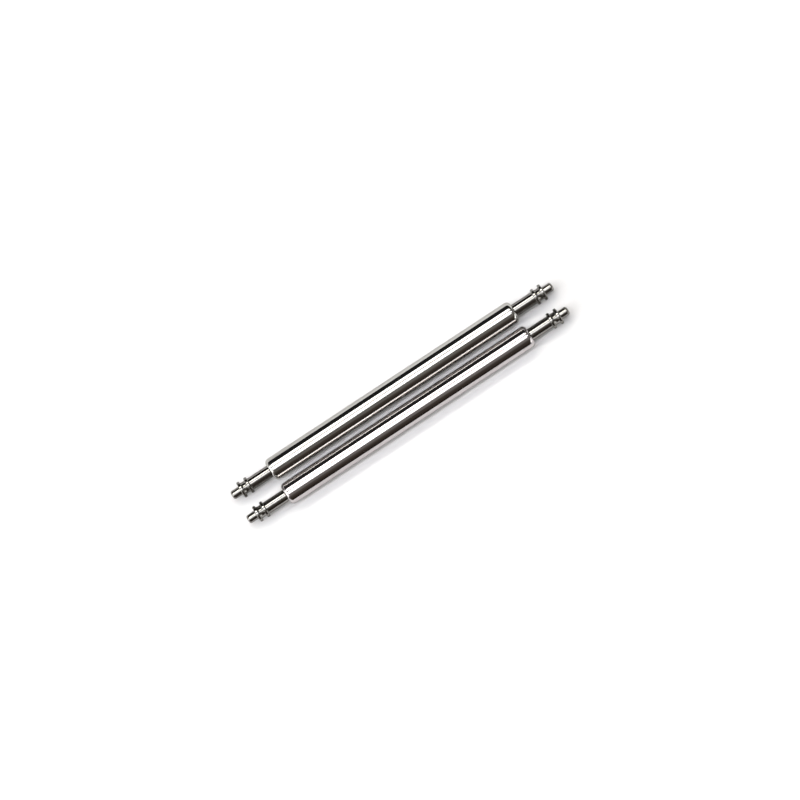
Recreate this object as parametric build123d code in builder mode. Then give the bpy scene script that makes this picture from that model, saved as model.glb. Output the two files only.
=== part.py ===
from build123d import *
from math import cos, pi, sin, sqrt
import os

# A pair of double-flange spring bars for a watch strap, lying side by side on a table.
# Each bar is a steel tube with both ends rolled in, a plunger at each end and one coil spring between.
# Millimetres. +X runs along the bars, +Z is up, and the origin is on the table under their middle.

# Tube
tube_diameter = 1.5
tube_length = 18.4
tube_wall = 0.15
# flat ring that is left round each mouth by the rolled-in end
lip_width = 0.03

# Plunger, outside the tube
stem_diameter = 0.82
# from the tube's end to the near face of the inner flange
stem_reach = 1.48
# how far a flange stands above the stem
flange_height = 0.15
flange_thickness = 0.2
flange_rim_round = 0.06
# the groove between the flanges is this far below the stem, at the middle of its hollow floor
groove_depth = 0.02
groove_hollow = 0.04
groove_width = 0.32
pivot_diameter = 0.58
pivot_length = 0.64
pivot_tip_round = 0.15

# Plunger, inside the tube
head_length = 1.2
head_back_round = 0.05
spigot_length = 0.6
spigot_tip_round = 0.08

# Spring
wire_diameter = 0.16
# wanted between turns; the number of turns follows from it
turn_gap = 0.46

# Clearances: radial ones for what slides or turns, axial ones for what seats
stem_clearance = 0.03
head_clearance = 0.03
spring_clearance = 0.05
spigot_clearance = 0.04
shoulder_gap = 0.02
spring_seat_gap = 0.02

# Lay of the pair
bar_spacing = 1.82

# Radii
tube_radius = tube_diameter / 2
bore_radius = tube_radius - tube_wall
stem_radius = stem_diameter / 2
flange_radius = stem_radius + flange_height
groove_radius = stem_radius - groove_depth
groove_side_radius = groove_radius + groove_hollow
pivot_radius = pivot_diameter / 2
wire_radius = wire_diameter / 2
mouth_radius = stem_radius + stem_clearance
head_radius = bore_radius - head_clearance
coil_radius = bore_radius - spring_clearance - wire_radius
spigot_radius = coil_radius - wire_radius - spigot_clearance
crimp_round = tube_radius - mouth_radius - lip_width
crimp_inner_round = crimp_round - tube_wall

# Places along a bar, outwards from its middle
tube_end = tube_length / 2
crimp_inner_face = tube_end - tube_wall
head_face = crimp_inner_face - shoulder_gap
head_back = head_face - head_length
spigot_tip = head_back - spigot_length
inner_flange = tube_end + stem_reach
groove_start = inner_flange + flange_thickness
outer_flange = groove_start + groove_width
pivot_start = outer_flange + flange_thickness
pivot_tip = pivot_start + pivot_length
coil_end = head_back - spring_seat_gap - wire_radius

# A plunger's stroke ends with its inner flange as near to the tube as its head is at rest
stroke = stem_reach - shoulder_gap

# The spring's turns, counted by halves
half_turns = round(2 * 2 * coil_end / (wire_diameter + turn_gap))
spring_turns = half_turns / 2
samples_per_half_turn = 24


def half_section_plane(across, outward):
    """Plane of a bar's half section: x runs outward along the bar, y is the distance from its axis."""
    axis_point = (0, across, tube_radius)
    return Plane(origin=axis_point, x_dir=(outward, 0, 0), z_dir=(0, -outward, 0))


def runs(corners, close=False):
    """Straight runs of a half section, from corner to corner.

    Each corner is its place along the bar, its distance from the axis and its rounding.
    """
    points = [(along, out) for along, out, _ in corners]
    rounded = corners if close else corners[1:-1]
    return FilletPolyline(*points, radius=[rounding for *_, rounding in rounded], close=close)


def flange(near_face, neck_before, neck_after):
    """Corners of a flange's half section, from the neck on its near side to the one past it."""
    far_face = near_face + flange_thickness
    return [
        (near_face, neck_before, 0),
        (near_face, flange_radius, flange_rim_round),
        (far_face, flange_radius, flange_rim_round),
        (far_face, neck_after, 0),
    ]


def tube(across):
    """The tube: a plain bore, with both ends rolled in to a mouth that the stem runs through."""
    plane = half_section_plane(across, 1)
    with BuildPart() as piece:
        with BuildSketch(plane):
            with BuildLine():
                corners = [
                    (tube_end, mouth_radius, 0),
                    (tube_end, tube_radius, crimp_round),
                    (-tube_end, tube_radius, crimp_round),
                    (-tube_end, mouth_radius, 0),
                    (-crimp_inner_face, mouth_radius, 0),
                    (-crimp_inner_face, bore_radius, crimp_inner_round),
                    (crimp_inner_face, bore_radius, crimp_inner_round),
                    (crimp_inner_face, mouth_radius, 0),
                ]
                runs(corners, close=True)
            make_face()
        revolve(axis=Axis(plane.origin, plane.x_dir))
    return piece


def plunger(across, outward):
    """A plunger: spring spigot, head that the tube keeps in, stem, two flanges and pivot.

    The groove between the flanges takes the fork of a strap tool. A round-nosed cutter left its floor hollow.
    """
    plane = half_section_plane(across, outward)
    with BuildPart() as piece:
        with BuildSketch(plane):
            with BuildLine():
                sprung_end = [
                    (spigot_tip, 0, 0),
                    (spigot_tip, spigot_radius, spigot_tip_round),
                    (head_back, spigot_radius, 0),
                    (head_back, head_radius, head_back_round),
                    (head_face, head_radius, crimp_inner_round),
                    (head_face, stem_radius, 0),
                ]
                tip = [
                    (pivot_tip, pivot_radius, pivot_tip_round),
                    (pivot_tip, 0, 0),
                ]
                behind = runs(sprung_end + flange(inner_flange, stem_radius, groove_side_radius))
                ahead = runs(flange(outer_flange, groove_side_radius, pivot_radius) + tip)
                groove_middle = (groove_start + groove_width / 2, groove_radius)
                ThreePointArc(behind @ 1, groove_middle, ahead @ 0)
                Line(ahead @ 1, behind @ 0)
            make_face()
        revolve(axis=Axis(plane.origin, plane.x_dir))
    return piece


def coil_point(turn, across):
    """A point on the spring's centre line, so many turns from its left end."""
    along = -coil_end + 2 * coil_end * turn / spring_turns
    angle = 2 * pi * turn
    return Vector(along, across + coil_radius * sin(angle), tube_radius + coil_radius * cos(angle))


def coil_direction(turn):
    """The direction of the spring's centre line there."""
    angle = 2 * pi * turn
    round_the_axis = 2 * pi * coil_radius * spring_turns
    along = 2 * coil_end
    way = Vector(along, round_the_axis * cos(angle), -round_the_axis * sin(angle))
    return way.normalized()


def biarc_joint(start, start_way, end, end_way):
    """The point where two arcs of a biarc meet, so that both ends keep their directions."""
    chord = end - start
    along_ways = chord.dot(start_way + end_way)
    turn_of_ways = 1 - start_way.dot(end_way)
    reach = (sqrt(along_ways**2 + 2 * turn_of_ways * chord.dot(chord)) - along_ways) / (2 * turn_of_ways)
    return (start + end + (start_way - end_way) * reach) / 2


def spring(across):
    """The coil spring: open ends, each half turn a biarc, one unbroken round wire."""
    with BuildPart() as piece:
        with BuildLine() as centre_line:
            for half_turn in range(half_turns):
                start, end = half_turn / 2, (half_turn + 1) / 2
                start_point, end_point = coil_point(start, across), coil_point(end, across)
                start_way = coil_direction(start)
                joint = biarc_joint(start_point, start_way, end_point, coil_direction(end))
                first = TangentArc(start_point, joint, tangent=start_way)
                TangentArc(joint, end_point, tangent=first % 1)
        with BuildSketch(Plane(origin=centre_line.line @ 0, z_dir=centre_line.line % 0)):
            Circle(wire_radius)
        sweep()
    return piece


def wire_gap():
    """The least gap from the spring's wire to itself, measured on points half a turn or more apart."""
    turns = [n / samples_per_half_turn / 2 for n in range(half_turns * samples_per_half_turn + 1)]
    points = [coil_point(turn, 0) for turn in turns]
    pairs = (
        (point, other)
        for n, point in enumerate(points)
        for other in points[n + samples_per_half_turn : n + 3 * samples_per_half_turn]
    )
    return min((point - other).length for point, other in pairs) - wire_diameter


os.makedirs("parts", exist_ok=True)

for bar, across in (("rear", bar_spacing / 2), ("front", -bar_spacing / 2)):
    pieces = {
        "tube": tube(across),
        "left_plunger": plunger(across, -1),
        "right_plunger": plunger(across, 1),
        "spring": spring(across),
    }
    for kind, piece in pieces.items():
        name = f"{bar}_bar_{kind}"
        piece.part.label = name
        export_step(piece.part, f"parts/{name}.step")

print(f"overall length {2 * pivot_tip:.2f} mm, pressed right in {2 * (pivot_tip - stroke):.2f} mm")
print(f"stroke of a plunger {stroke:.2f} mm")
print(f"spring: {spring_turns} turns, {2 * coil_end / spring_turns:.3f} mm apart")
print(f"bend radius of its wire {coil_radius:.3f} mm, least gap of the wire to itself {wire_gap():.3f} mm")
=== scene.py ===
"""Two double-flange spring bars on a white table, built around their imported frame.

Each bar is a drawn steel tube with a sprung plunger at either end. Sizes are in millimetres and turn to
metres where a mesh is made. The bars lie along X, and the table's top is the plane where z is 0.
"""

import logging
from collections.abc import Sequence
from dataclasses import dataclass, replace
from enum import Enum
from itertools import pairwise
from math import ceil, cos, pi, radians, sin, tan

import bmesh
import bpy
from mathutils import Matrix, Vector

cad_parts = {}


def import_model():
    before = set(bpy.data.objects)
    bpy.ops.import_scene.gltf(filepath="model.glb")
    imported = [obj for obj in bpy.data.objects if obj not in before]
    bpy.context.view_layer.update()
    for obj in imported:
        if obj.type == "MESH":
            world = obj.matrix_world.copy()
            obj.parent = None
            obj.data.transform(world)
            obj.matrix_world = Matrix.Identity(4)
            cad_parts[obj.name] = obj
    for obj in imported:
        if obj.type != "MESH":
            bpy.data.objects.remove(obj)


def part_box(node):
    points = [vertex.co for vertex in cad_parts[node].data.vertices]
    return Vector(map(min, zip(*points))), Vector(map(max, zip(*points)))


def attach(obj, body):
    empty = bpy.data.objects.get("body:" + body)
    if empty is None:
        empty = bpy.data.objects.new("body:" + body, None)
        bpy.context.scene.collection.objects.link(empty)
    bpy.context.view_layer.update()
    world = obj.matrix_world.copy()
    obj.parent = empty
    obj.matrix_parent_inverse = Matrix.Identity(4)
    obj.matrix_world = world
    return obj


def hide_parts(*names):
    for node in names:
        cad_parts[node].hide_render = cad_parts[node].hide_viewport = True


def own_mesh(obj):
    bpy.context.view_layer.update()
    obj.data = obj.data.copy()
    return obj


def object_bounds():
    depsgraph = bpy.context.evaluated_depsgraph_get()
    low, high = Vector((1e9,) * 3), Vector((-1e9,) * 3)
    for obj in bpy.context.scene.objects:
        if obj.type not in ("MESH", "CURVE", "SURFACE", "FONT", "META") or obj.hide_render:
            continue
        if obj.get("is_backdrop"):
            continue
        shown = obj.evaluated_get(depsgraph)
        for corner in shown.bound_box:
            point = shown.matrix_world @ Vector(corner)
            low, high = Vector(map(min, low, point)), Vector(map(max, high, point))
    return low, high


MM = 0.001
LOG = logging.getLogger("spring_bars")

# Sockets of a Mix node, which has one set for numbers and one for colours
NUMBER_A, NUMBER_B, NUMBER_MIXED = 2, 3, 0
COLOUR_A, COLOUR_B, COLOUR_MIXED = 6, 7, 2

# How many finer layers marks have: few where a tool left them in rows, more in soft patches
TOOLED, PATCHY = 2.0, 4.0


class Hand(Enum):
    """The two ends of a bar, and the way outward along X at each."""

    LEFT = -1
    RIGHT = 1

    @property
    def word(self) -> str:
        """The end's name, as the frame has it."""
        return self.name.lower()


class Place(Enum):
    """The two bars of the pair, by where they lie."""

    REAR = "rear"
    FRONT = "front"


def linear(hex_colour: str) -> tuple[float, float, float, float]:
    """Turns an sRGB hex colour into linear red, green and blue, and a full alpha.

    Args:
        hex_colour: Six hex digits after a hash sign.

    Returns:
        The linear colour that Blender's sockets take.
    """
    shares = [int(hex_colour[n : n + 2], 16) / 255 for n in (1, 3, 5)]
    red, green, blue = (s / 12.92 if s <= 0.04045 else ((s + 0.055) / 1.055) ** 2.4 for s in shares)
    return red, green, blue, 1.0


def add_node(
    tree: bpy.types.NodeTree,
    kind: str,
    settings: dict[str, object] | None = None,
    inputs: dict[str | int, object] | None = None,
) -> bpy.types.Node:
    """Adds a node with its settings and its inputs.

    Args:
        tree: The node tree that the node joins.
        kind: The node's type, by Blender's name for it.
        settings: Values for the node's own properties.
        inputs: For each socket, by name or index, its value or the output that feeds it.

    Returns:
        The new node.
    """
    node = tree.nodes.new(kind)
    for name, value in (settings or {}).items():
        setattr(node, name, value)
    for socket, value in (inputs or {}).items():
        if isinstance(value, bpy.types.NodeSocket):
            tree.links.new(value, node.inputs[socket])
        else:
            node.inputs[socket].default_value = value
    return node


def new_material(name: str) -> tuple[bpy.types.Material, bpy.types.NodeTree]:
    """Makes a material with an empty node tree.

    Args:
        name: The material's name.

    Returns:
        The material and its tree.
    """
    material = bpy.data.materials.new(name)
    material.use_nodes = True
    material.node_tree.nodes.clear()
    return material, material.node_tree


def add_object(name: str, data: bpy.types.ID) -> bpy.types.Object:
    """Adds an object to the scene.

    Args:
        name: The object's name.
        data: Its mesh, light or camera.

    Returns:
        The object, at the origin.
    """
    item = bpy.data.objects.new(name, data)
    bpy.context.scene.collection.objects.link(item)
    return item


def marks(
    tree: bpy.types.NodeTree,
    place: bpy.types.NodeSocket,
    size: tuple[float, float, float],
    detail: float = TOOLED,
) -> bpy.types.NodeSocket:
    """Adds a field of soft marks, between 0 and 1, that are so long along each axis.

    Args:
        tree: The material's tree.
        place: The coordinates that the marks follow, in metres.
        size: The length of a mark along X, Y and Z, in millimetres.
        detail: How many finer layers the marks have.

    Returns:
        The output that holds the marks.
    """
    per_metre = Vector((1 / (mark * MM) for mark in size))
    scaled = add_node(
        tree, "ShaderNodeVectorMath", {"operation": "MULTIPLY"}, {0: place, 1: per_metre}
    )
    noise = add_node(
        tree, "ShaderNodeTexNoise", {}, {"Vector": scaled.outputs[0], "Scale": 1.0, "Detail": detail}
    )
    return noise.outputs["Fac"]


def ease(
    tree: bpy.types.NodeTree,
    value: bpy.types.NodeSocket,
    start: float,
    end: float,
    low: float = 0.0,
    high: float = 1.0,
) -> bpy.types.NodeSocket:
    """Turns a value smoothly from low to high as it goes from start to end.

    Args:
        tree: The tree that the value is in.
        value: The output that changes.
        start: The value at which the result is low.
        end: The value at which the result is high.
        low: The result before start.
        high: The result after end.

    Returns:
        The output that holds the result.
    """
    span = {"From Min": start, "From Max": end, "To Min": low, "To Max": high, "Value": value}
    return add_node(tree, "ShaderNodeMapRange", {"interpolation_type": "SMOOTHSTEP"}, span).outputs[0]


@dataclass(frozen=True)
class Steel:
    """Bare polished stainless steel: what its surfaces have in common.

    Attributes:
        name: The material's name.
        colour: The metal's colour where it is clean.
        shade: Its colour where polish and handling left it duller.
        gloss: Its roughness where it is clean.
        dullness: Its roughness where it is duller.
        mark_depth: The depth of the marks that its making left, in millimetres.
        glancing: What a glancing view makes of white, as steel reflects less there than a plain mirror.
    """

    name: str
    colour: str
    shade: str
    gloss: float
    dullness: float
    mark_depth: float
    glancing: str = "#dcdbda"

    def dress(
        self,
        tree: bpy.types.NodeTree,
        dull: bpy.types.NodeSocket,
        height: bpy.types.NodeSocket,
    ) -> None:
        """Adds the metal's shader.

        Args:
            tree: The material's tree.
            dull: Where the metal is dull, from 0 to 1.
            height: The height of its marks, from 0 to 1.
        """
        colour = add_node(
            tree,
            "ShaderNodeMix",
            {"data_type": "RGBA"},
            {0: dull, COLOUR_A: linear(self.colour), COLOUR_B: linear(self.shade)},
        )
        bump = add_node(
            tree, "ShaderNodeBump", {}, {"Height": height, "Distance": self.mark_depth * MM}
        )
        shader = add_node(
            tree,
            "ShaderNodeBsdfPrincipled",
            {},
            {
                "Metallic": 1.0,
                "Base Color": colour.outputs[COLOUR_MIXED],
                "Roughness": ease(tree, dull, 0.0, 1.0, self.gloss, self.dullness),
                "Specular Tint": linear(self.glancing),
                "Normal": bump.outputs[0],
            },
        )
        add_node(tree, "ShaderNodeOutputMaterial", {}, {"Surface": shader.outputs[0]})


@dataclass(frozen=True)
class DrawnSteel(Steel):
    """Stainless steel tube, pulled through a die and polished, its ends burnished by a roller.

    To the eye it is a mirror drawn out lengthwise: bright and dark bands run along it, broken by hairlines
    that the die left. The rolled-in ends have fine rings instead. The real hairlines are 0.01 mm wide,
    which is too fine to show, so they are drawn several times as wide.

    Attributes:
        line_width: The width of a hairline, in millimetres.
        line_length: How far a hairline runs along the tube, in millimetres.
        ring_width: The width of a ring on the rolled-in ends, in millimetres.
        ring_length: How far a ring keeps its tone round the tube, in millimetres.
        straight_half: Half the length of the tube between its rolled-in ends, in millimetres.
        smear: The length along X, Y and Z of the soft marks that handling left, in millimetres.
        line_band: The values of hairlines and rings, from 0 to 1, between which the steel turns dull.
        smear_band: The same for the soft marks.
    """

    line_width: float = 0.09
    line_length: float = 14.0
    ring_width: float = 0.05
    ring_length: float = 1.0
    straight_half: float = 8.92
    smear: tuple[float, float, float] = (2.6, 0.5, 0.5)
    line_band: tuple[float, float] = (0.45, 0.7)
    smear_band: tuple[float, float] = (0.3, 0.7)

    def material(self) -> bpy.types.Material:
        """Builds the material.

        Returns:
            The finished material.
        """
        material, tree = new_material(self.name)
        place = add_node(tree, "ShaderNodeTexCoord").outputs["Object"]
        along = add_node(tree, "ShaderNodeSeparateXYZ", {}, {0: place}).outputs["X"]
        distance = add_node(tree, "ShaderNodeMath", {"operation": "ABSOLUTE"}, {0: along}).outputs[0]
        edge = self.straight_half * MM
        rolled = ease(tree, distance, edge - self.ring_width * MM, edge + self.ring_width * MM)
        lines = marks(tree, place, (self.line_length, self.line_width, self.line_width))
        rings = marks(tree, place, (self.ring_width, self.ring_length, self.ring_length))
        height = add_node(
            tree, "ShaderNodeMix", {}, {0: rolled, NUMBER_A: lines, NUMBER_B: rings}
        ).outputs[NUMBER_MIXED]
        smears = marks(tree, place, self.smear, PATCHY)
        dull = add_node(
            tree,
            "ShaderNodeMath",
            {"operation": "MULTIPLY"},
            {0: ease(tree, height, *self.line_band), 1: ease(tree, smears, *self.smear_band)},
        )
        self.dress(tree, dull.outputs[0], height)
        return material


@dataclass(frozen=True)
class TurnedSteel(Steel):
    """Hardened stainless steel pin, turned on a lathe and barrel-polished.

    To the eye it is a darker mirror than the tube, with faint rings round it from the cutter and soft
    scuffs from the polishing. Real rings are 0.02 mm apart, too fine to show, and are drawn wider.

    Attributes:
        ring_width: The width of a turning ring, in millimetres.
        ring_length: How far a ring keeps its tone round the pin, in millimetres.
        scuff: The size of the soft marks that polishing left, in millimetres.
        ring_band: The values of the rings, from 0 to 1, between which the steel turns dull.
        scuff_band: The same for the soft marks.
    """

    ring_width: float = 0.06
    ring_length: float = 2.0
    scuff: float = 0.35
    ring_band: tuple[float, float] = (0.4, 0.7)
    scuff_band: tuple[float, float] = (0.35, 0.65)

    def material(self) -> bpy.types.Material:
        """Builds the material.

        Returns:
            The finished material.
        """
        material, tree = new_material(self.name)
        place = add_node(tree, "ShaderNodeTexCoord").outputs["Object"]
        rings = marks(tree, place, (self.ring_width, self.ring_length, self.ring_length))
        scuffs = marks(tree, place, (self.scuff,) * 3, PATCHY)
        dull = add_node(
            tree,
            "ShaderNodeMath",
            {"operation": "MULTIPLY"},
            {0: ease(tree, rings, *self.ring_band), 1: ease(tree, scuffs, *self.scuff_band)},
        )
        self.dress(tree, dull.outputs[0], rings)
        return material


@dataclass(frozen=True)
class SpringWire(Steel):
    """Stainless spring wire, cold-drawn and coiled, left as it comes off the coiler.

    To the eye it is satin grey, mottled by the lubricant that the coiler left.

    Attributes:
        mottle: The size of the mottled patches, in millimetres.
        mottle_band: The values of the patches, from 0 to 1, between which the steel turns dull.
    """

    mottle: float = 0.12
    mottle_band: tuple[float, float] = (0.35, 0.65)

    def material(self) -> bpy.types.Material:
        """Builds the material.

        Returns:
            The finished material.
        """
        material, tree = new_material(self.name)
        place = add_node(tree, "ShaderNodeTexCoord").outputs["Object"]
        patches = marks(tree, place, (self.mottle,) * 3, PATCHY)
        self.dress(tree, ease(tree, patches, *self.mottle_band), patches)
        return material


REAR_TUBE_STEEL = DrawnSteel(
    name="rear_tube_drawn_stainless",
    colour="#c2c1bd",
    shade="#a8a6a2",
    gloss=0.06,
    dullness=0.15,
    mark_depth=0.0012,
    glancing="#bdbcbb",
)
# slightly pinker than the rear tube's
FRONT_TUBE_STEEL = replace(
    REAR_TUBE_STEEL, name="front_tube_drawn_stainless", colour="#c4bfbf", shade="#a9a4a4"
)
PLUNGER_STEEL = TurnedSteel(
    name="plunger_turned_steel",
    colour="#908e8a",
    shade="#7c7a76",
    gloss=0.07,
    dullness=0.16,
    mark_depth=0.001,
    glancing="#6c6b6a",
)
SPRING_STEEL = SpringWire(
    name="spring_cold_drawn_wire",
    colour="#bdbab5",
    shade="#8f8c87",
    gloss=0.28,
    dullness=0.42,
    mark_depth=0.002,
)


@dataclass(frozen=True)
class Corner:
    """A corner of a turned piece's half section, in millimetres.

    Attributes:
        along: Its place along the bar, outward from the bar's middle.
        out: Its distance from the bar's axis.
        rounding: The radius of the rounding there.
    """

    along: float
    out: float
    rounding: float = 0.0


@dataclass(frozen=True)
class Lathe:
    """Turns half sections about a bar's axis into closed meshes.

    Attributes:
        arc_step: The turn between two points of a rounding, in degrees.
        support: The distance of a supporting ring from each end of a straight run, in millimetres.
        support_room: A straight run gets such rings if it is longer than so many of those distances.
        longest_run: The longest straight run without a ring in it, in millimetres.
        sharp: The angle past which an edge shades sharp, in degrees.
    """

    arc_step: float = 6.0
    support: float = 0.012
    support_room: float = 4.0
    longest_run: float = 1.0
    sharp: float = 32.0

    def rounding(self, before: Vector, corner: Vector, after: Vector, radius: float) -> list[Vector]:
        """Works out the points of a corner's rounding.

        Args:
            before: The corner before it.
            corner: The corner.
            after: The corner after it.
            radius: The radius of the rounding.

        Returns:
            The points, in order.
        """
        back, ahead = (before - corner).normalized(), (after - corner).normalized()
        half_angle = back.angle(ahead) / 2
        start, end = (corner + way * radius / tan(half_angle) for way in (back, ahead))
        centre = corner + (back + ahead).normalized() * radius / sin(half_angle)
        turn = (start - centre).angle_signed(end - centre)
        steps = ceil(abs(turn) / radians(self.arc_step))
        return [centre + Matrix.Rotation(-turn * n / steps, 2) @ (start - centre) for n in range(steps + 1)]

    def outline(self, corners: Sequence[Corner], closed: bool) -> list[Vector]:
        """Works out a half section's points, with roundings and supporting rings.

        Args:
            corners: The corners of the half section.
            closed: Whether the last corner joins the first.

        Returns:
            The points, in order, each with its place along the bar and its distance from the axis.
        """
        points = []
        places = [Vector((corner.along, corner.out)) for corner in corners]
        for n, corner in enumerate(corners):
            if corner.rounding:
                after = places[(n + 1) % len(places)]
                points += self.rounding(places[n - 1], places[n], after, corner.rounding)
            else:
                points.append(places[n])
        if closed:
            points.append(points[0])
        supported = [points[0]]
        for start, end in pairwise(points):
            run = end - start
            if run.length > self.support_room * self.support:
                edge = run.normalized() * self.support
                pieces = ceil(run.length / self.longest_run)
                inner = run - 2 * edge
                supported += [start + edge + inner * n / pieces for n in range(pieces + 1)]
            supported.append(end)
        return supported[:-1] if closed else supported

    def turn(
        self,
        name: str,
        outline: Sequence[Vector],
        axis_point: Vector,
        outward: int,
        sides: int,
        closed: bool,
    ) -> bpy.types.Object:
        """Turns an outline about a bar's axis.

        Args:
            name: The piece's name.
            outline: The points of the half section, in millimetres.
            axis_point: The middle of the bar's axis, in metres.
            outward: The way along X that is outward, 1 or -1.
            sides: The number of sides of a ring.
            closed: Whether the last point joins the first.

        Returns:
            The piece, its faces pointing outwards.
        """
        shape = bmesh.new()
        rings = []
        for along, out in outline:
            angles = [2 * pi * n / sides for n in range(sides)] if out > 0 else [0.0]
            rings.append(
                [
                    shape.verts.new(
                        axis_point + Vector((outward * along, out * sin(angle), out * cos(angle))) * MM
                    )
                    for angle in angles
                ]
            )
        if closed:
            rings.append(rings[0])
        for ring, following in pairwise(rings):
            for n in range(sides):
                corners = [ring[n % len(ring)], ring[(n + 1) % len(ring)]]
                corners += [following[(n + 1) % len(following)], following[n % len(following)]]
                shape.faces.new(dict.fromkeys(corners))
        bmesh.ops.recalc_face_normals(shape, faces=shape.faces)
        mesh = bpy.data.meshes.new(name)
        shape.to_mesh(mesh)
        shape.free()
        mesh.shade_smooth()
        mesh.set_sharp_from_angle(angle=radians(self.sharp))
        return add_object(name, mesh)


@dataclass(frozen=True)
class BarFrame:
    """Where a bar lies, read from the frame.

    Attributes:
        place: Which bar of the pair it is.
        middle: The middle of its axis, in metres.
        tube_end: The distance of the tube's end from the middle, in millimetres.
        tube_radius: The tube's outer radius, in millimetres.
        spigot_tip: The distance of a plunger's inner end from the middle, in millimetres.
        pivot_tip: The distance of its outer end from the middle, in millimetres.
        spring_end: The distance of the spring's end from the middle, in millimetres.
    """

    place: Place
    middle: Vector
    tube_end: float
    tube_radius: float
    spigot_tip: float
    pivot_tip: float
    spring_end: float

    @classmethod
    def read(cls, place: Place) -> "BarFrame":
        """Reads a bar's place and reach from its nodes' boxes.

        Args:
            place: Which bar of the pair it is.

        Returns:
            The bar's frame.
        """
        low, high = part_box(f"{place.value}_bar_tube")
        plunger_low, plunger_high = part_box(f"{place.value}_bar_right_plunger")
        spring_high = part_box(f"{place.value}_bar_spring")[1]
        return cls(
            place=place,
            middle=(low + high) / 2,
            tube_end=high.x / MM,
            tube_radius=(high.z - low.z) / 2 / MM,
            spigot_tip=plunger_low.x / MM,
            pivot_tip=plunger_high.x / MM,
            spring_end=spring_high.x / MM,
        )


@dataclass(frozen=True)
class Tube:
    """The outer tube of a bar, with both ends rolled in over the plungers. Sizes are in millimetres.

    Attributes:
        wall: The thickness of its wall.
        mouth_radius: The radius of the mouth that each rolled-in end leaves.
        lip_width: The width of the flat ring round a mouth.
        lip_break: The rounding of the mouth's edges.
        sides: The number of sides of a ring.
        lathe: What turns its half section.
        finish: What its surface is.
    """

    wall: float = 0.15
    mouth_radius: float = 0.44
    lip_width: float = 0.03
    lip_break: float = 0.012
    sides: int = 160
    lathe: Lathe = Lathe()
    finish: DrawnSteel = REAR_TUBE_STEEL

    def corners(self, bar: BarFrame) -> list[Corner]:
        """Lists the corners of the tube's half section.

        Args:
            bar: The bar's frame.

        Returns:
            The corners, first round the outside and then round the bore.
        """
        end, outside = bar.tube_end, bar.tube_radius
        bore = outside - self.wall
        crimp = outside - self.mouth_radius - self.lip_width
        inner_face = end - self.wall
        right_half = [
            Corner(inner_face, bore, crimp - self.wall),
            Corner(inner_face, self.mouth_radius, self.lip_break),
            Corner(end, self.mouth_radius, self.lip_break),
            Corner(end, outside, crimp),
        ]
        left_half = [Corner(-c.along, c.out, c.rounding) for c in reversed(right_half)]
        return right_half + left_half

    def build(self, bar: BarFrame) -> bpy.types.Object:
        """Builds the tube and rides it on its body.

        Args:
            bar: The bar's frame.

        Returns:
            The finished piece.
        """
        outline = self.lathe.outline(self.corners(bar), closed=True)
        piece = self.lathe.turn(f"{bar.place.value}_tube", outline, bar.middle, 1, self.sides, closed=True)
        piece.data.materials.append(self.finish.material())
        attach(piece, f"{bar.place.value}_tube")
        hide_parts(f"{bar.place.value}_bar_tube")
        return piece


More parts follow.
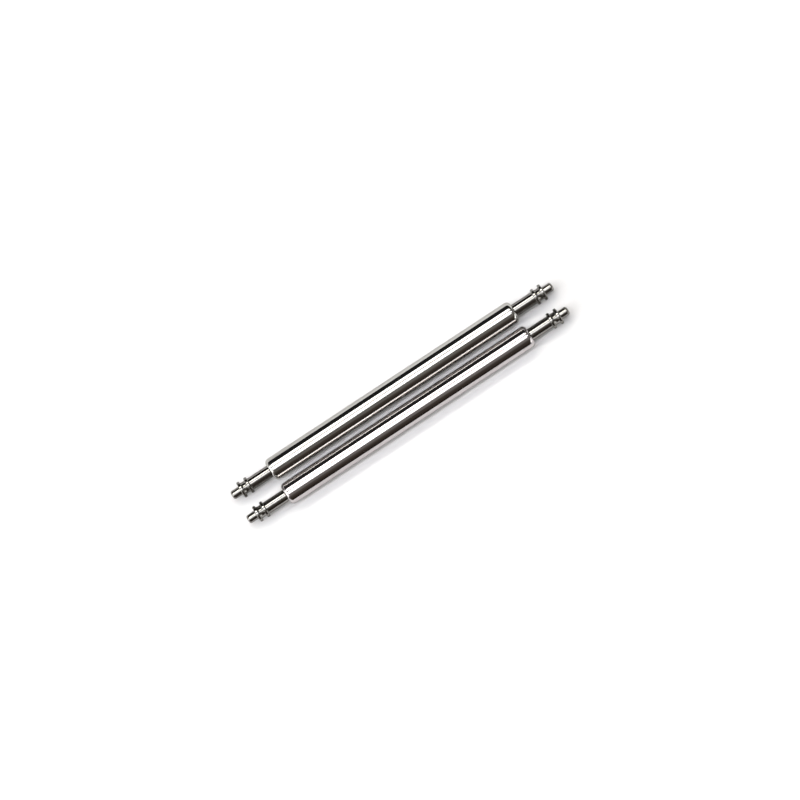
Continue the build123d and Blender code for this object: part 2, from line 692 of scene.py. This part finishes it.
@dataclass(frozen=True)
class Plunger:
    """The turned pin at each end of a bar. Sizes are in millimetres.

    Attributes:
        spigot_radius: The radius of the spigot that centres the spring.
        spigot_length: Its length.
        spigot_round: The rounding of its tip.
        head_radius: The radius of the head that the tube keeps in.
        head_length: The head's length.
        head_back_round: The rounding of the head towards the spring.
        head_front_round: The rounding of the head towards the tube's mouth.
        stem_radius: The radius of the stem.
        flange_radius: The radius of both flanges.
        flange_thickness: Their thickness.
        flange_round: The rounding of their rims.
        groove_width: The width of the groove between the flanges.
        groove_radius: The radius at the middle of the groove's hollow floor.
        groove_side_radius: The radius at the floor's sides.
        pivot_radius: The radius of the pivot.
        pivot_length: Its length.
        pivot_round: The rounding of its tip.
        root: The rounding that the cutter left where the stem and the pivot meet a flange.
        sides: The number of sides of a ring.
        lathe: What turns its half section.
        finish: What its surface is.
    """

    spigot_radius: float = 0.35
    spigot_length: float = 0.6
    spigot_round: float = 0.08
    head_radius: float = 0.57
    head_length: float = 1.2
    head_back_round: float = 0.05
    head_front_round: float = 0.13
    stem_radius: float = 0.41
    flange_radius: float = 0.56
    flange_thickness: float = 0.2
    flange_round: float = 0.06
    groove_width: float = 0.32
    groove_radius: float = 0.39
    groove_side_radius: float = 0.43
    pivot_radius: float = 0.29
    pivot_length: float = 0.64
    pivot_round: float = 0.15
    root: float = 0.03
    sides: int = 128
    lathe: Lathe = Lathe()
    finish: TurnedSteel = PLUNGER_STEEL

    def corners(self, bar: BarFrame) -> list[Corner]:
        """Lists the corners of the plunger's half section.

        Args:
            bar: The bar's frame.

        Returns:
            The corners, from the spigot's tip to the pivot's.
        """
        head_back = bar.spigot_tip + self.spigot_length
        head_face = head_back + self.head_length
        pivot_start = bar.pivot_tip - self.pivot_length
        groove_end = pivot_start - self.flange_thickness
        groove_start = groove_end - self.groove_width
        inner_flange = groove_start - self.flange_thickness
        hollow = self.groove_side_radius - self.groove_radius
        half_width = self.groove_width / 2
        floor_round = (half_width**2 + hollow**2) / (2 * hollow)
        rim = self.flange_radius, self.flange_round
        return [
            Corner(bar.spigot_tip, 0),
            Corner(bar.spigot_tip, self.spigot_radius, self.spigot_round),
            Corner(head_back, self.spigot_radius, self.root),
            Corner(head_back, self.head_radius, self.head_back_round),
            Corner(head_face, self.head_radius, self.head_front_round),
            Corner(head_face, self.stem_radius),
            Corner(inner_flange, self.stem_radius, self.root),
            Corner(inner_flange, *rim),
            Corner(groove_start, *rim),
            Corner(groove_start, self.groove_side_radius),
            Corner(groove_start + half_width, self.groove_radius - hollow, floor_round),
            Corner(groove_end, self.groove_side_radius),
            Corner(groove_end, *rim),
            Corner(pivot_start, *rim),
            Corner(pivot_start, self.pivot_radius, self.root),
            Corner(bar.pivot_tip, self.pivot_radius, self.pivot_round),
            Corner(bar.pivot_tip, 0),
        ]

    def build(self, bar: BarFrame, hand: Hand) -> bpy.types.Object:
        """Builds the plunger of one end and rides it on its body.

        Args:
            bar: The bar's frame.
            hand: Which end it is for.

        Returns:
            The finished piece.
        """
        name = f"{bar.place.value}_{hand.word}_plunger"
        outline = self.lathe.outline(self.corners(bar), closed=False)
        piece = self.lathe.turn(name, outline, bar.middle, hand.value, self.sides, closed=False)
        piece.data.materials.append(self.finish.material())
        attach(piece, name)
        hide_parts(f"{bar.place.value}_bar_{hand.word}_plunger")
        return piece


@dataclass(frozen=True)
class Spring:
    """The coil spring between a bar's two plungers, made as two halves that meet at the bar's middle.

    Attributes:
        coil_radius: The radius of the wire's centre line, in millimetres.
        wire_radius: The radius of the wire, in millimetres.
        turns: The number of turns from end to end.
        steps: The number of straight steps in a turn.
        wire_sides: The number of sides of the wire.
        stroke: How far a plunger presses its half in, in millimetres.
        sharp: The angle past which an edge shades sharp, in degrees.
        finish: What its surface is.
    """

    coil_radius: float = 0.47
    wire_radius: float = 0.08
    turns: float = 25.0
    steps: int = 40
    wire_sides: int = 14
    # stroke: How far a plunger presses its half in, in millimetres. Not used.
    stroke: float = 1.46
    sharp: float = 40.0
    finish: SpringWire = SPRING_STEEL

    def tree(self) -> tuple[bpy.types.NodeTree, dict[str, str]]:
        """Builds the geometry nodes that wind half a spring.

        Returns:
            The tree and, for each of its inputs, the socket's identifier.
        """
        tree = bpy.data.node_groups.new("wind_spring", "GeometryNodeTree")
        kinds = {
            "Turns": "NodeSocketFloat",
            "Steps in a Turn": "NodeSocketInt",
            "Coil Radius": "NodeSocketFloat",
            "Length": "NodeSocketFloat",
            "Wire Radius": "NodeSocketFloat",
            "Wire Sides": "NodeSocketInt",
            "Middle": "NodeSocketVector",
            "Way": "NodeSocketVector",
            "Wire": "NodeSocketMaterial",
        }
        sockets = {
            name: tree.interface.new_socket(name, in_out="INPUT", socket_type=kind).identifier
            for name, kind in kinds.items()
        }
        tree.interface.new_socket("Geometry", in_out="OUTPUT", socket_type="NodeSocketGeometry")
        given = add_node(tree, "NodeGroupInput").outputs
        coil = add_node(
            tree,
            "GeometryNodeCurveSpiral",
            {},
            {
                "Resolution": given["Steps in a Turn"],
                "Rotations": given["Turns"],
                "Start Radius": given["Coil Radius"],
                "End Radius": given["Coil Radius"],
                "Height": given["Length"],
                "Reverse": True,
            },
        )
        section = add_node(
            tree,
            "GeometryNodeCurvePrimitiveCircle",
            {"mode": "RADIUS"},
            {"Resolution": given["Wire Sides"], "Radius": given["Wire Radius"]},
        )
        wire = add_node(
            tree,
            "GeometryNodeCurveToMesh",
            {},
            {"Curve": coil.outputs[0], "Profile Curve": section.outputs[0], "Fill Caps": True},
        )
        placed = add_node(
            tree,
            "GeometryNodeTransform",
            {},
            {"Geometry": wire.outputs[0], "Translation": given["Middle"], "Rotation": given["Way"]},
        )
        real = add_node(tree, "GeometryNodeRealizeInstances", {}, {0: placed.outputs[0]})
        dressed = add_node(
            tree, "GeometryNodeSetMaterial", {}, {"Geometry": real.outputs[0], "Material": given["Wire"]}
        )
        add_node(tree, "NodeGroupOutput", {}, {0: dressed.outputs[0]})
        return tree, sockets

    def build(self, bar: BarFrame, hand: Hand) -> bpy.types.Object:
        """Winds one half of the spring at its resting length; the real half shortens as its plunger is
        pressed.

        Args:
            bar: The bar's frame.
            hand: Which half it is.

        Returns:
            The finished piece.
        """
        name = f"{bar.place.value}_spring_{hand.word}_half"
        tree, sockets = self.tree()
        # the coil is wound along Z; these turns lay it along X, its start below the axis, for either half
        ways = {Hand.RIGHT: (0.0, pi / 2, 0.0), Hand.LEFT: (0.0, pi / 2, pi)}
        values = {
            "Turns": self.turns / 2,
            "Steps in a Turn": self.steps,
            "Coil Radius": self.coil_radius * MM,
            "Length": (bar.spring_end - self.wire_radius) * MM,
            "Wire Radius": self.wire_radius * MM,
            "Wire Sides": self.wire_sides,
            "Middle": bar.middle,
            "Way": ways[hand],
            "Wire": self.finish.material(),
        }
        maker = add_object(f"{name}_maker", bpy.data.meshes.new(name))
        winding = maker.modifiers.new("winding", "NODES")
        winding.node_group = tree
        for socket, value in values.items():
            winding[sockets[socket]] = value
        wound = maker.evaluated_get(bpy.context.evaluated_depsgraph_get())
        mesh = bpy.data.meshes.new_from_object(wound)
        maker.modifiers.remove(winding)
        bpy.data.objects.remove(maker)
        mesh.shade_smooth()
        mesh.set_sharp_from_angle(angle=radians(self.sharp))
        piece = add_object(name, mesh)
        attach(piece, f"{bar.place.value}_inside")
        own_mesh(piece)
        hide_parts(f"{bar.place.value}_bar_spring")
        return piece


@dataclass(frozen=True)
class SpringBar:
    """One bar: its tube, a plunger at either end and the spring between them.

    Attributes:
        place: Which bar of the pair it is.
        tube: Its tube.
        plunger: The plunger that both of its ends have.
        spring: Its spring.
    """

    place: Place
    tube: Tube = Tube()
    plunger: Plunger = Plunger()
    spring: Spring = Spring()

    def build(self) -> None:
        """Builds the bar's pieces and reports each."""
        bar = BarFrame.read(self.place)
        pieces = [self.tube.build(bar)]
        for hand in Hand:
            pieces.append(self.plunger.build(bar, hand))
            pieces.append(self.spring.build(bar, hand))
        for piece in pieces:
            LOG.info("%s: %d faces", piece.name, len(piece.data.polygons))


BARS = (SpringBar(Place.REAR), SpringBar(Place.FRONT, Tube(finish=FRONT_TUBE_STEEL)))


@dataclass(frozen=True)
class Table:
    """The table top, of matt white laminate.

    To the eye it is plain white, without gloss or grain, and the bars' soft shadow shows on it.

    Attributes:
        half_width: How far it reaches each way, in metres.
        colour: The laminate's colour.
    """

    half_width: float = 3.0
    colour: str = "#f6f6f6"

    def material(self) -> bpy.types.Material:
        """Builds the laminate's material.

        Returns:
            The finished material.
        """
        material, tree = new_material("table_white_laminate")
        matt = add_node(tree, "ShaderNodeBsdfDiffuse", {}, {"Color": linear(self.colour)})
        add_node(tree, "ShaderNodeOutputMaterial", {}, {"Surface": matt.outputs[0]})
        return material

    def build(self) -> None:
        """Lays the table under the bars."""
        reach = self.half_width
        corners = [(-reach, -reach, 0), (reach, -reach, 0), (reach, reach, 0), (-reach, reach, 0)]
        mesh = bpy.data.meshes.new("table")
        mesh.from_pydata(corners, [], [(0, 1, 2, 3)])
        mesh.materials.append(self.material())
        table = add_object("table", mesh)
        table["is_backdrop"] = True


@dataclass(frozen=True)
class Backdrop:
    """The low wall round the table, behind the bars in a nearly level view.

    To the eye it is an even white. It lights nothing: its glow is only for the camera, for mirrors and
    for glass.

    Attributes:
        distance: Its distance from the bars, in metres.
        height: Its height, in metres: enough to fill a view from 5 degrees up.
        sides: How many flat sides it has.
    """

    distance: float = 1.0
    height: float = 0.02
    sides: int = 64

    def material(self) -> bpy.types.Material:
        """Builds the wall's material.

        Returns:
            The finished material.
        """
        material, tree = new_material("backdrop_white")
        rays = add_node(tree, "ShaderNodeLightPath").outputs
        seen = rays["Is Camera Ray"]
        for ray in ("Is Glossy Ray", "Is Transmission Ray"):
            both = {0: seen, 1: rays[ray]}
            seen = add_node(tree, "ShaderNodeMath", {"operation": "ADD"}, both).outputs[0]
        glow = add_node(tree, "ShaderNodeEmission", {}, {"Strength": seen})
        add_node(tree, "ShaderNodeOutputMaterial", {}, {"Surface": glow.outputs[0]})
        material.cycles.emission_sampling = "NONE"
        return material

    def build(self) -> None:
        """Stands the wall round the table."""
        ring = [Vector((self.distance, 0, 0)), Vector((self.distance, 0, self.height))]
        turns = [Matrix.Rotation(2 * pi * side / self.sides, 3, "Z") for side in range(self.sides)]
        points = [turn @ point for turn in turns for point in ring]
        count = len(points)
        faces = [(n, n + 1, (n + 3) % count, (n + 2) % count) for n in range(0, count, 2)]
        mesh = bpy.data.meshes.new("backdrop")
        mesh.from_pydata(points, [], faces)
        mesh.materials.append(self.material())
        backdrop = add_object("backdrop", mesh)
        backdrop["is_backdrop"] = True


@dataclass(frozen=True)
class Tone:
    """How bright the room is in one direction round the bars.

    Attributes:
        angle: The direction, in degrees from straight up, towards the camera's side.
        colour: What is seen there.
        level: How bright it is, as a share of the room's full strength.
    """

    angle: float
    colour: str
    level: float


@dataclass(frozen=True)
class Room:
    """The studio round the table: dark, warm walls, a white one at the left and a grey one at the right.

    Attributes:
        full_strength: The strength of a tone whose level is 1, a third above the white wall's.
        across: What is seen from the bars, straight across them, from behind over the top to the front.
        left: What is seen at their left.
        right: What is seen at their right.
        side_start: How far along the bars a direction points where a side wall starts.
        side_end: How far along them it points where that wall is full.
    """

    full_strength: float = 2.23
    across: tuple[Tone, ...] = (
        Tone(-90, "#ffffff", 0.01),
        Tone(-50, "#ffffff", 0.01),
        Tone(-42, "#ffffff", 0.06),
        Tone(8, "#fffaf6", 0.13),
        Tone(22, "#fffaf6", 0.12),
        Tone(31, "#fff6ee", 0.1),
        Tone(41, "#fff0e2", 0.062),
        Tone(51, "#ffeada", 0.034),
        Tone(62, "#ffe6d2", 0.022),
        Tone(73, "#ffe6d2", 0.0145),
        Tone(90, "#ffe6d2", 0.01),
    )
    left: tuple[Tone, ...] = (
        Tone(-90, "#ffffff", 0.1),
        Tone(-65, "#ffffff", 0.1),
        Tone(-50, "#ffffff", 0.75),
        Tone(20, "#ffffff", 0.75),
        Tone(38, "#fff6ee", 0.08),
        Tone(90, "#ffe6d6", 0.03),
    )
    right: tuple[Tone, ...] = (
        Tone(-90, "#ffffff", 0.03),
        Tone(-50, "#fffaf6", 0.06),
        Tone(20, "#fffaf6", 0.1),
        Tone(45, "#fff5ea", 0.08),
        Tone(90, "#ffe6d6", 0.03),
    )
    side_start: float = 0.38
    side_end: float = 0.64

    def ramp(
        self, tree: bpy.types.NodeTree, share: bpy.types.NodeSocket, tones: Sequence[Tone]
    ) -> bpy.types.NodeSocket:
        """Adds the colours that are seen round the bars.

        Args:
            tree: The world's tree.
            share: The direction, as a share of a whole turn.
            tones: The room's brightness, in order of angle.

        Returns:
            The output that holds the colour.
        """
        node = add_node(tree, "ShaderNodeValToRGB", {}, {"Fac": share})
        stops = node.color_ramp.elements
        stops.remove(stops[0])
        for n, tone in enumerate(tones):
            position = (tone.angle + 180) / 360
            stop = stops.new(position) if n else stops[0]
            stop.position = position
            red, green, blue, alpha = linear(tone.colour)
            stop.color = red * tone.level, green * tone.level, blue * tone.level, alpha
        return node.outputs["Color"]

    def build(self) -> None:
        """Makes the world that the bars mirror."""
        world = bpy.data.worlds.new("studio_room")
        bpy.context.scene.world = world
        world.use_nodes = True
        tree = world.node_tree
        tree.nodes.clear()
        way = add_node(tree, "ShaderNodeTexCoord").outputs["Generated"]
        x, y, z = add_node(tree, "ShaderNodeSeparateXYZ", {}, {0: way}).outputs
        towards = add_node(tree, "ShaderNodeMath", {"operation": "MULTIPLY"}, {0: y, 1: -1.0}).outputs[0]
        turn = add_node(tree, "ShaderNodeMath", {"operation": "ARCTAN2"}, {0: towards, 1: z}).outputs[0]
        whole = {"Value": turn, "From Min": -pi, "From Max": pi}
        share = add_node(tree, "ShaderNodeMapRange", {}, whole).outputs[0]
        seen = self.ramp(tree, share, self.across)
        walls = (
            (ease(tree, x, -self.side_end, -self.side_start, 1.0, 0.0), self.left),
            (ease(tree, x, self.side_start, self.side_end), self.right),
        )
        for part, tones in walls:
            wall = {0: part, COLOUR_A: seen, COLOUR_B: self.ramp(tree, share, tones)}
            seen = add_node(tree, "ShaderNodeMix", {"data_type": "RGBA"}, wall).outputs[COLOUR_MIXED]
        light = {"Color": seen, "Strength": self.full_strength}
        background = add_node(tree, "ShaderNodeBackground", {}, light)
        add_node(tree, "ShaderNodeOutputWorld", {}, {"Surface": background.outputs[0]})


def area_light(
    name: str, size: tuple[float, float], brightness: float, colour: str
) -> bpy.types.Object:
    """Adds a rectangular light that shines down its own Z axis.

    Args:
        name: Its name.
        size: Its size along its own X and Y, in metres.
        brightness: The strength at which its surface shows.
        colour: Its colour.

    Returns:
        The light, at the origin.
    """
    light = bpy.data.lights.new(name, "AREA")
    light.shape = "RECTANGLE"
    light.size, light.size_y = size
    # an area light shows at a strength of its power on each square metre over pi
    light.energy = pi * brightness * light.size * light.size_y
    light.color = linear(colour)[:3]
    return add_object(name, light)


@dataclass(frozen=True)
class Softbox:
    """A soft light over the table, by the directions of its edges as seen from the bars.

    Attributes:
        name: Its name.
        rear: The angle of its rear edge from straight up, in degrees, rearward.
        front: The angle of its front edge, rearward too.
        left: The angle of its left edge, leftward.
        right: The angle of its right edge, rightward.
        brightness: The strength at which its surface shows.
        height: Its height over the table, in metres.
        colour: Its colour.
    """

    name: str
    rear: float
    front: float
    left: float
    right: float
    brightness: float
    height: float = 0.8
    colour: str = "#ffffff"

    def build(self) -> None:
        """Hangs the light."""
        rear, front, left, right = (
            self.height * tan(radians(angle)) for angle in (self.rear, self.front, self.left, self.right)
        )
        size = left + right, rear - front
        softbox = area_light(self.name, size, self.brightness, self.colour)
        softbox.location = ((right - left) / 2, (rear + front) / 2, self.height)


@dataclass(frozen=True)
class Panel:
    """A light panel that stands at the side of the table and faces the bars.

    Attributes:
        name: Its name.
        way: The direction of its middle, in degrees from the right, counted over the rear.
        rise: The height of its middle over the table, in degrees.
        width: How wide it is, in degrees.
        tall: How tall it is, in degrees.
        brightness: The strength at which its surface shows.
        distance: Its distance from the bars, in metres.
        colour: Its colour.
    """

    name: str
    way: float
    rise: float
    width: float
    tall: float
    brightness: float
    distance: float = 0.8
    colour: str = "#ffffff"

    def build(self) -> None:
        """Stands the panel up."""
        way, rise = radians(self.way), radians(self.rise)
        outward = Vector((cos(rise) * cos(way), cos(rise) * sin(way), sin(rise)))
        width, tall = (
            2 * self.distance * tan(radians(angle / 2)) for angle in (self.width, self.tall)
        )
        panel = area_light(self.name, (width, tall), self.brightness, self.colour)
        facing = outward.to_track_quat("Z", "Y").to_matrix().to_4x4()
        panel.matrix_world = Matrix.Translation(outward * self.distance) @ facing


# the strips hang just under the softboxes and show in front of them
STRIP_HEIGHT = 0.79

LIGHTS = (
    Softbox("rear_softbox", rear=43.5, front=16.5, left=9, right=9, brightness=1.535),
    Softbox(
        "front_softbox", rear=12.0, front=-10.5, left=22, right=9, brightness=1.535, colour="#f8faff"
    ),
    Softbox(
        "rear_edge_strip", rear=43.0, front=37.5, left=6, right=6, brightness=2.8, height=STRIP_HEIGHT
    ),
    Softbox(
        "front_edge_strip", rear=-6.0, front=-10.0, left=6, right=6, brightness=2.8, height=STRIP_HEIGHT
    ),
    Softbox(
        "near_strip",
        rear=10.5,
        front=2.0,
        left=65,
        right=43,
        brightness=4.93,
        height=STRIP_HEIGHT,
        colour="#f7f8ff",
    ),
    Softbox(
        "far_strip",
        rear=36.0,
        front=29.0,
        left=30,
        right=30,
        brightness=10.2,
        height=STRIP_HEIGHT,
        colour="#fffaf0",
    ),
    Panel("right_panel", way=-50, rise=15.5, width=50, tall=19, brightness=2.23),
    Panel("left_panel", way=176, rise=17, width=52, tall=26, brightness=2.42),
)


@dataclass(frozen=True)
class Camera:
    """The camera, at the photograph's viewing angle. Pixels are those of its frame of 800 by 800.

    Attributes:
        elevation: Its angle above the table, in degrees, from the front bar's side.
        roll: How far the bars rise to the right in the picture, in degrees.
        lens: The focal length, in millimetres.
        frame: The side of the frame, in pixels.
        scale: The pixels to a millimetre at the bars.
        off_right: How far the pair's middle is right of the picture's, in pixels.
        off_down: How far it is below it, in pixels.
        clip: How many times nearer and farther than the bars it sees.
    """

    elevation: float = 85.0
    roll: float = 33.3
    lens: float = 200.0
    frame: int = 800
    scale: float = 15.9
    off_right: float = 0.13
    off_down: float = 2.98
    clip: float = 100.0

    def build(self, middle: Vector) -> None:
        """Sets the camera up and makes it the scene's.

        Args:
            middle: The middle of the pair, in metres.
        """
        data = bpy.data.cameras.new("camera")
        data.lens = self.lens
        angle = radians(self.elevation)
        back = Vector((0, -cos(angle), sin(angle)))
        level_up = Vector((0, sin(angle), cos(angle)))
        turn = Matrix.Rotation(-radians(self.roll), 3, back)
        right, up = turn @ Vector((1, 0, 0)), turn @ level_up
        aim = middle + (up * self.off_down - right * self.off_right) * MM / self.scale
        distance = self.frame / self.scale * MM * data.lens / data.sensor_width
        data.clip_start, data.clip_end = distance / self.clip, distance * self.clip
        axes = Matrix((right, up, back)).transposed().to_4x4()
        camera = add_object("camera", data)
        camera.matrix_world = Matrix.Translation(aim + back * distance) @ axes
        bpy.context.scene.camera = camera


def main() -> None:
    """Builds the pair of bars and the studio round them."""
    logging.basicConfig(level=logging.INFO, format="%(name)s %(message)s")
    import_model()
    cad_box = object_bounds()
    middle = (cad_box[0] + cad_box[1]) / 2
    Camera().build(middle)
    for bar in BARS:
        bar.build()
    Table().build()
    Backdrop().build()
    Room().build()
    for light in LIGHTS:
        light.build()
    bpy.context.scene.view_settings.view_transform = "Standard"


if __name__ == "__main__":
    main()
